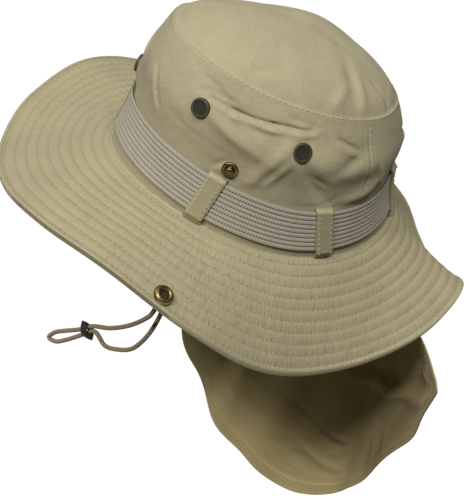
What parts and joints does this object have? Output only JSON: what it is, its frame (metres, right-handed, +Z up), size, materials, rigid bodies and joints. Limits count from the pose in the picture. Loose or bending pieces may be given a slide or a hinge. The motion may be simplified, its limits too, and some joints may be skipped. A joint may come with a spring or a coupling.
{
  "type": "flap sun hat",
  "caption": "Soft cotton sun hat with a webbing band in belt loops, mesh vents, a wide quilted drooping brim, a chin cord with toggle and a curved neck flap at the back.",
  "frame": {"origin": "middle of the head opening, where the crown meets the brim and the hat sits on a head", "axes": "+Z up along the crown, -Y the way the wearer looks, +X the wearer's left"},
  "size_m": [0.2931, 0.3238, 0.4173],
  "materials": {
    "khaki_cloth": "washed khaki cotton twill",
    "quilted_cloth": "khaki cotton twill quilted in concentric stitch rows",
    "loop_cloth": "khaki cotton twill, edge stitched",
    "flap_cloth": "khaki cotton twill, hemmed",
    "webbing": "ribbed grey-beige webbing",
    "cotton_cord": "round braided cotton cord",
    "dark_bronze": "dark bronzed metal mesh vent",
    "antique_brass": "antique brass, worn and darkened",
    "dark_toggle": "near-black brown"
  },
  "bodies": {
    "root": {"crown_side": "khaki_cloth", "crown_top": "khaki_cloth", "brim": "quilted_cloth", "hat_band": "webbing", "belt_loop_1": "loop_cloth", "belt_loop_2": "loop_cloth", "belt_loop_3": "loop_cloth", "belt_loop_4": "loop_cloth", "belt_loop_5": "loop_cloth", "belt_loop_6": "loop_cloth", "eyelet_1": "dark_bronze", "eyelet_2": "dark_bronze", "eyelet_3": "dark_bronze", "eyelet_4": "dark_bronze", "crown_stud": "antique_brass", "brim_snap": "antique_brass", "neck_flap": "flap_cloth", "chin_cord": "cotton_cord", "cord_toggle": "dark_toggle"}
  },
  "joints": []
}
